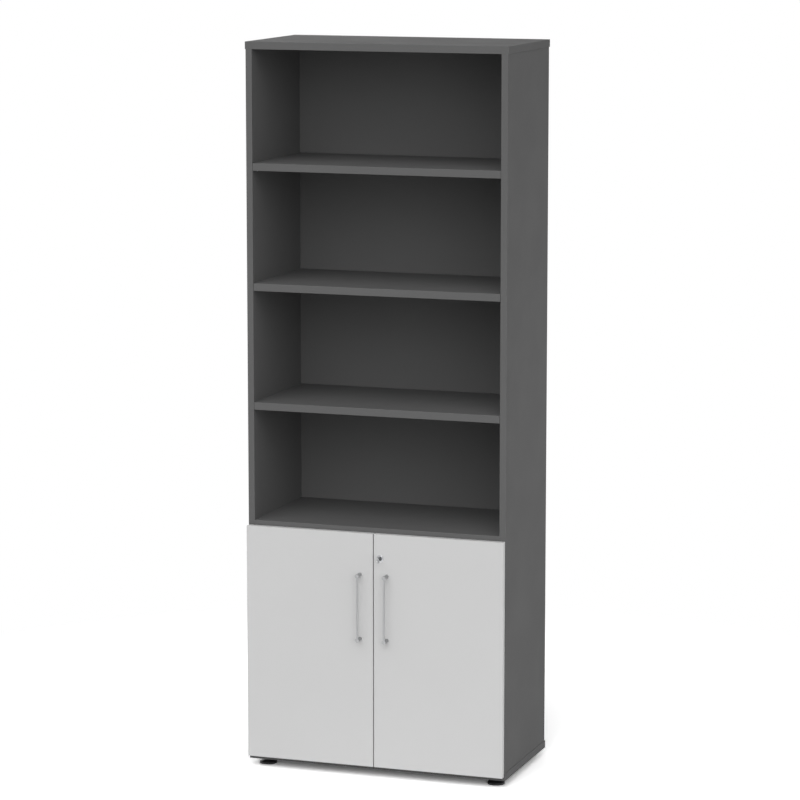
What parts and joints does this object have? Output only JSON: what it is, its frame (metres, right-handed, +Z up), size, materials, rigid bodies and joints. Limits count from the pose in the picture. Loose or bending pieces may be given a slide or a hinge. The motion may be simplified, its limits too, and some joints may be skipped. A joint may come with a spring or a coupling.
{
  "type": "bookcase with cabinet doors",
  "caption": "Tall office bookcase: open compartments with flat shelves above a low cupboard with a pair of plain hinged doors, bar handles, a cam lock and levelling feet.",
  "frame": {"origin": "on the floor, under the middle of the overall box, handles included", "axes": "+X to the right as one faces the doors, +Y towards the back, +Z up"},
  "size_m": [0.8, 0.453, 2.156],
  "materials": {
    "graphite_board": "matt graphite melamine faced chipboard",
    "graphite_back_board": "matt graphite coated fibreboard",
    "light_grey_board": "matt light grey melamine faced chipboard",
    "satin_steel": "satin",
    "chrome": "polished",
    "polished_key_metal": "nickel plated",
    "zinc_plated_steel": "zinc plated",
    "nickel_plated_steel": "nickel plated",
    "black_plastic": "moulded",
    "graphite_plastic": "moulded",
    "soft_bumper": "soft",
    "beech": "fluted beech"
  },
  "bodies": {
    "carcass": {"top_panel": "graphite_board", "bottom_panel": "graphite_board", "left_side_panel": "graphite_board", "right_side_panel": "graphite_board", "back_panel": "graphite_back_board", "fixed_shelf": "graphite_board", "lower_shelf": "graphite_board", "middle_shelf": "graphite_board", "upper_shelf": "graphite_board", "cupboard_shelf": "graphite_board", "shelf_supports": "zinc_plated_steel", "cam_housings": "zinc_plated_steel", "cam_covers": "graphite_plastic", "connecting_bolts": "zinc_plated_steel", "wood_dowels": "beech", "hinge_mounting_plates": "zinc_plated_steel", "mounting_plate_screws": "zinc_plated_steel", "hinge_arms": "nickel_plated_steel", "hinge_arm_pins": "nickel_plated_steel", "hinge_arm_screws": "zinc_plated_steel", "foot_sockets": "black_plastic", "foot_covers": "graphite_plastic", "lock_strike": "zinc_plated_steel", "lock_strike_screws": "zinc_plated_steel"},
    "right_main_links": {"right_main_links": "nickel_plated_steel"},
    "right_guide_links": {"right_guide_links": "nickel_plated_steel"},
    "right_door": {"right_door": "light_grey_board", "right_handle": "satin_steel", "right_handle_screws": "zinc_plated_steel", "right_hinge_cups": "nickel_plated_steel", "right_cup_pins": "nickel_plated_steel", "right_cup_screws": "zinc_plated_steel", "right_door_bumpers": "soft_bumper", "lock_housing": "chrome", "lock_nut": "zinc_plated_steel"},
    "left_main_links": {"left_main_links": "nickel_plated_steel"},
    "left_guide_links": {"left_guide_links": "nickel_plated_steel"},
    "left_door": {"left_door": "light_grey_board", "left_handle": "satin_steel", "left_handle_screws": "zinc_plated_steel", "left_hinge_cups": "nickel_plated_steel", "left_cup_pins": "nickel_plated_steel", "left_cup_screws": "zinc_plated_steel", "left_door_bumpers": "soft_bumper"},
    "lock_rotor": {"lock_cylinder": "polished_key_metal", "key": "polished_key_metal", "lock_lever": "zinc_plated_steel", "lock_lever_screw": "zinc_plated_steel"},
    "foot_pad_front_left": {"foot_pad_front_left": "black_plastic"},
    "foot_spindle_front_left": {"foot_spindle_front_left": "zinc_plated_steel"},
    "foot_pad_front_right": {"foot_pad_front_right": "black_plastic"},
    "foot_spindle_front_right": {"foot_spindle_front_right": "zinc_plated_steel"},
    "foot_pad_rear_left": {"foot_pad_rear_left": "black_plastic"},
    "foot_spindle_rear_left": {"foot_spindle_rear_left": "zinc_plated_steel"},
    "foot_pad_rear_right": {"foot_pad_rear_right": "black_plastic"},
    "foot_spindle_rear_right": {"foot_spindle_rear_right": "zinc_plated_steel"}
  },
  "joints": [
    {"name": "right_main_link_pivot", "type": "hinge", "parent": "carcass", "child": "right_main_links", "pos_m": [0.3628, -0.1636, 0.384], "axis": [0, 0, 1], "range_deg": [-26.8, 0]},
    {"name": "right_guide_link_pivot", "type": "hinge", "parent": "carcass", "child": "right_guide_links", "pos_m": [0.3568, -0.1758, 0.384], "axis": [0, 0, 1], "range_deg": [-15.5, 0]},
    {"name": "right_door_swing", "type": "hinge", "parent": "right_main_links", "child": "right_door", "pos_m": [0.3882, -0.1827, 0.384], "axis": [0, 0, 1], "range_deg": [0, 126.6]},
    {"name": "left_main_link_pivot", "type": "hinge", "parent": "carcass", "child": "left_main_links", "pos_m": [-0.3628, -0.1636, 0.384], "axis": [0, 0, -1], "range_deg": [-26.8, 0]},
    {"name": "left_guide_link_pivot", "type": "hinge", "parent": "carcass", "child": "left_guide_links", "pos_m": [-0.3568, -0.1758, 0.384], "axis": [0, 0, -1], "range_deg": [-15.5, 0]},
    {"name": "left_door_swing", "type": "hinge", "parent": "left_main_links", "child": "left_door", "pos_m": [-0.3882, -0.1827, 0.384], "axis": [0, 0, -1], "range_deg": [0, 126.6]},
    {"name": "lock_turn", "type": "hinge", "parent": "right_door", "child": "lock_rotor", "pos_m": [0.021, -0.1985, 0.662], "axis": [0, -1, 0], "range_deg": [0, 90]},
    {"name": "foot_height_front_left", "type": "slide", "parent": "carcass", "child": "foot_pad_front_left", "axis": [0, 0, 1], "range_m": [-0.012, 0]},
    {"name": "foot_screw_front_left", "type": "hinge", "parent": "foot_pad_front_left", "child": "foot_spindle_front_left", "pos_m": [-0.358, -0.1325, 0.01], "axis": [0, 0, 1], "range_deg": [-2881, 0]},
    {"name": "foot_height_front_right", "type": "slide", "parent": "carcass", "child": "foot_pad_front_right", "axis": [0, 0, 1], "range_m": [-0.012, 0]},
    {"name": "foot_screw_front_right", "type": "hinge", "parent": "foot_pad_front_right", "child": "foot_spindle_front_right", "pos_m": [0.358, -0.1325, 0.01], "axis": [0, 0, 1], "range_deg": [-2881, 0]},
    {"name": "foot_height_rear_left", "type": "slide", "parent": "carcass", "child": "foot_pad_rear_left", "axis": [0, 0, 1], "range_m": [-0.012, 0]},
    {"name": "foot_screw_rear_left", "type": "hinge", "parent": "foot_pad_rear_left", "child": "foot_spindle_rear_left", "pos_m": [-0.344, 0.1785, 0.01], "axis": [0, 0, 1], "range_deg": [-2881, 0]},
    {"name": "foot_height_rear_right", "type": "slide", "parent": "carcass", "child": "foot_pad_rear_right", "axis": [0, 0, 1], "range_m": [-0.012, 0]},
    {"name": "foot_screw_rear_right", "type": "hinge", "parent": "foot_pad_rear_right", "child": "foot_spindle_rear_right", "pos_m": [0.344, 0.1785, 0.01], "axis": [0, 0, 1], "range_deg": [-2881, 0]}
  ],
  "couplings": [
    {"joint": "right_main_link_pivot", "follows": "right_door_swing", "ratio": -0.21011},
    {"joint": "right_guide_link_pivot", "follows": "right_door_swing", "ratio": -0.12085},
    {"joint": "left_main_link_pivot", "follows": "left_door_swing", "ratio": -0.21011},
    {"joint": "left_guide_link_pivot", "follows": "left_door_swing", "ratio": -0.12085},
    {"joint": "foot_screw_front_left", "follows": "foot_height_front_left", "rad_per_m": 4188.8},
    {"joint": "foot_screw_front_right", "follows": "foot_height_front_right", "rad_per_m": 4188.8},
    {"joint": "foot_screw_rear_left", "follows": "foot_height_rear_left", "rad_per_m": 4188.8},
    {"joint": "foot_screw_rear_right", "follows": "foot_height_rear_right", "rad_per_m": 4188.8}
  ]
}
